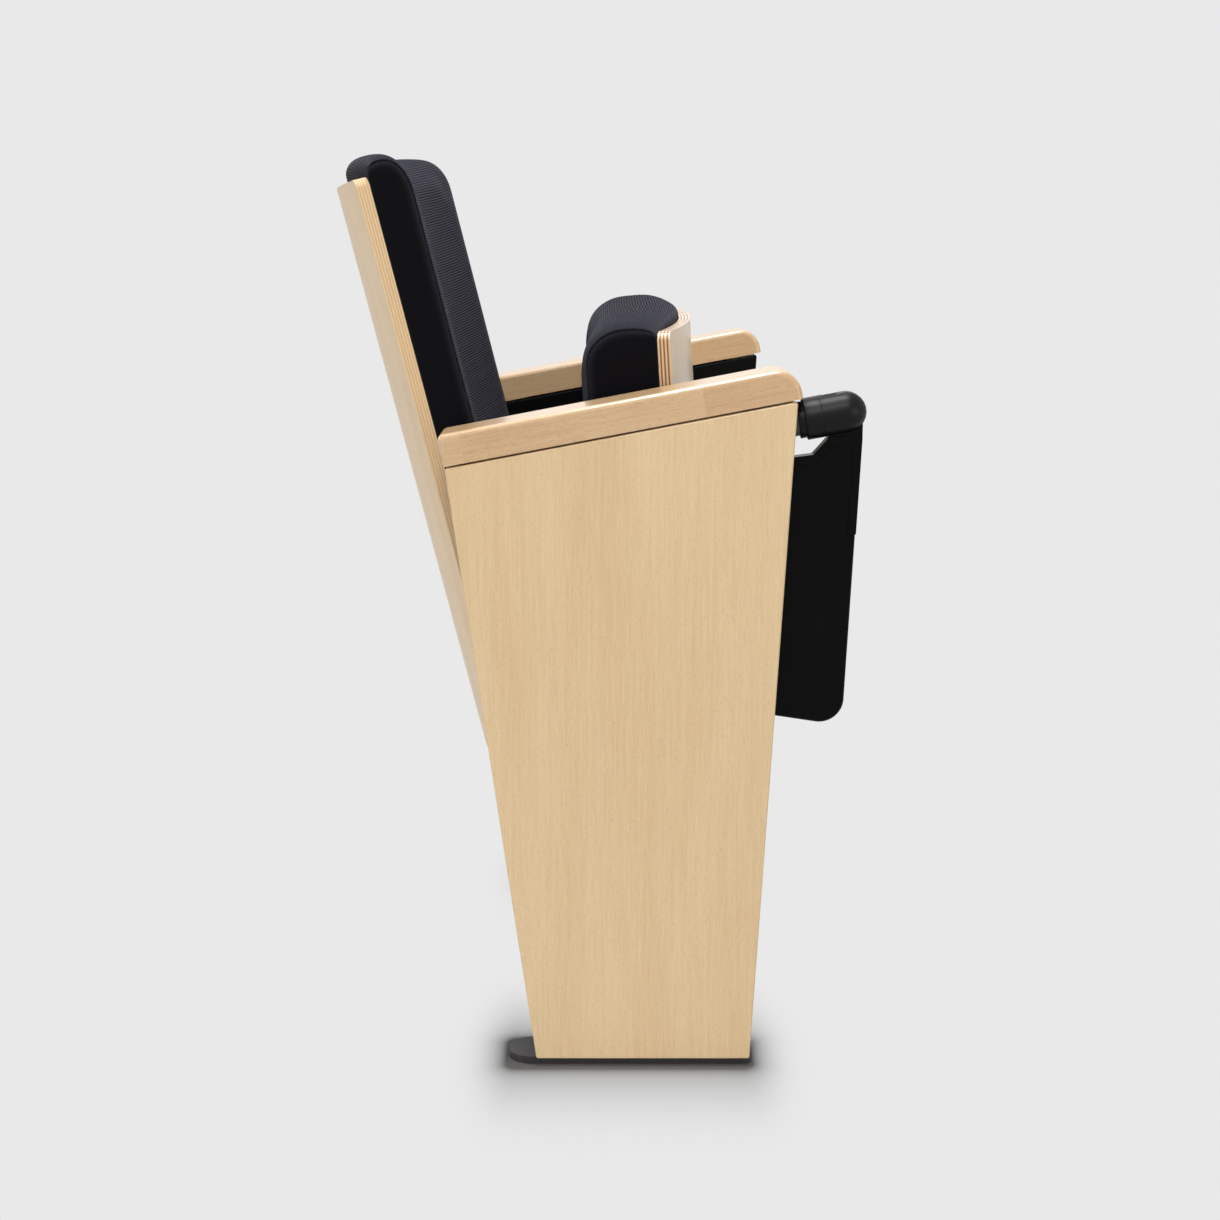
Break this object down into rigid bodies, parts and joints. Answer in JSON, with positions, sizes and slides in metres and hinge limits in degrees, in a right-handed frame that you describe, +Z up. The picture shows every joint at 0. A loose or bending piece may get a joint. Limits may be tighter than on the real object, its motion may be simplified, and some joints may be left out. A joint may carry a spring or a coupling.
{
  "type": "tip up auditorium seat",
  "caption": "Auditorium seat with a tip up padded seat, curved plywood back, wooden side stands and a folding writing tablet stowed beside one arm.",
  "frame": {"origin": "on the floor, midway between the two stands and midway between the foremost and rearmost points of the whole seat", "axes": "+Z up, +Y from the front to the back of the seat, +X to the sitter's left; the writing tablet is at -X"},
  "size_m": [0.6118, 0.5362, 0.9118],
  "materials": {
    "beech_veneer": "pale veneer, satin lacquer, vertical grain",
    "solid_beech": "solid, satin lacquer, grain along the arm",
    "beech_ply": "curved plywood, satin lacquer",
    "black_board": "black laminated board",
    "softwood": "plain strips",
    "black_steel": "dark powder coat",
    "bare_steel": "zinc plated",
    "black_fabric": "ribbed black upholstery fabric",
    "satin_black": "satin black moulding",
    "rubber": "black rubber",
    "pale_nylon": "natural nylon"
  },
  "bodies": {
    "frame": {"right_foot_plate": "black_steel", "right_post": "black_steel", "right_arm_tube": "black_steel", "right_arm_bar": "black_steel", "right_pivot_plate": "black_steel", "right_outer_panel": "beech_veneer", "right_inner_panel": "black_board", "right_rear_batten": "softwood", "right_front_batten": "softwood", "right_armrest": "solid_beech", "right_pivot_pin": "bare_steel", "right_pin_clip": "bare_steel", "right_return_spring": "bare_steel", "right_up_stop": "rubber", "right_down_stop": "rubber", "right_back_bracket": "black_steel", "right_bracket_bolt_low": "black_steel", "right_bracket_bolt_high": "black_steel", "right_back_screw_low": "bare_steel", "right_back_screw_high": "bare_steel", "left_foot_plate": "black_steel", "left_post": "black_steel", "left_arm_tube": "black_steel", "left_arm_bar": "black_steel", "left_pivot_plate": "black_steel", "left_outer_panel": "beech_veneer", "left_inner_panel": "black_board", "left_rear_batten": "softwood", "left_front_batten": "softwood", "left_armrest": "solid_beech", "left_pivot_pin": "bare_steel", "left_pin_clip": "bare_steel", "left_return_spring": "bare_steel", "left_up_stop": "rubber", "left_down_stop": "rubber", "left_back_bracket": "black_steel", "left_bracket_bolt_low": "black_steel", "left_bracket_bolt_high": "black_steel", "left_back_screw_low": "bare_steel", "left_back_screw_high": "bare_steel", "back_shell": "beech_ply", "back_cushion": "black_fabric", "tablet_head": "satin_black", "tablet_pin": "bare_steel", "tablet_buffer": "rubber"},
    "seat": {"seat_shell": "beech_ply", "seat_cushion": "black_fabric", "right_hinge_arm": "black_steel", "right_pivot_bush": "pale_nylon", "right_seat_screw_rear": "bare_steel", "right_seat_screw_front": "bare_steel", "left_hinge_arm": "black_steel", "left_pivot_bush": "pale_nylon", "left_seat_screw_rear": "bare_steel", "left_seat_screw_front": "bare_steel"},
    "tablet": {"tablet_carrier": "satin_black", "tablet_board": "satin_black", "tablet_screw_front": "bare_steel", "tablet_screw_rear": "bare_steel"}
  },
  "joints": [
    {"name": "seat_tip", "type": "hinge", "parent": "frame", "child": "seat", "pos_m": [0, -0.04098, 0.392], "axis": [1, 0, 0], "range_deg": [0, 88], "stiffness_Nm_per_rad": 5.5, "springref_deg": -63.03},
    {"name": "tablet_lift", "type": "hinge", "parent": "frame", "child": "tablet", "pos_m": [-0.27665, -0.24868, 0.66552], "axis": [-1, 0, 0], "range_deg": [0, 180]}
  ]
}
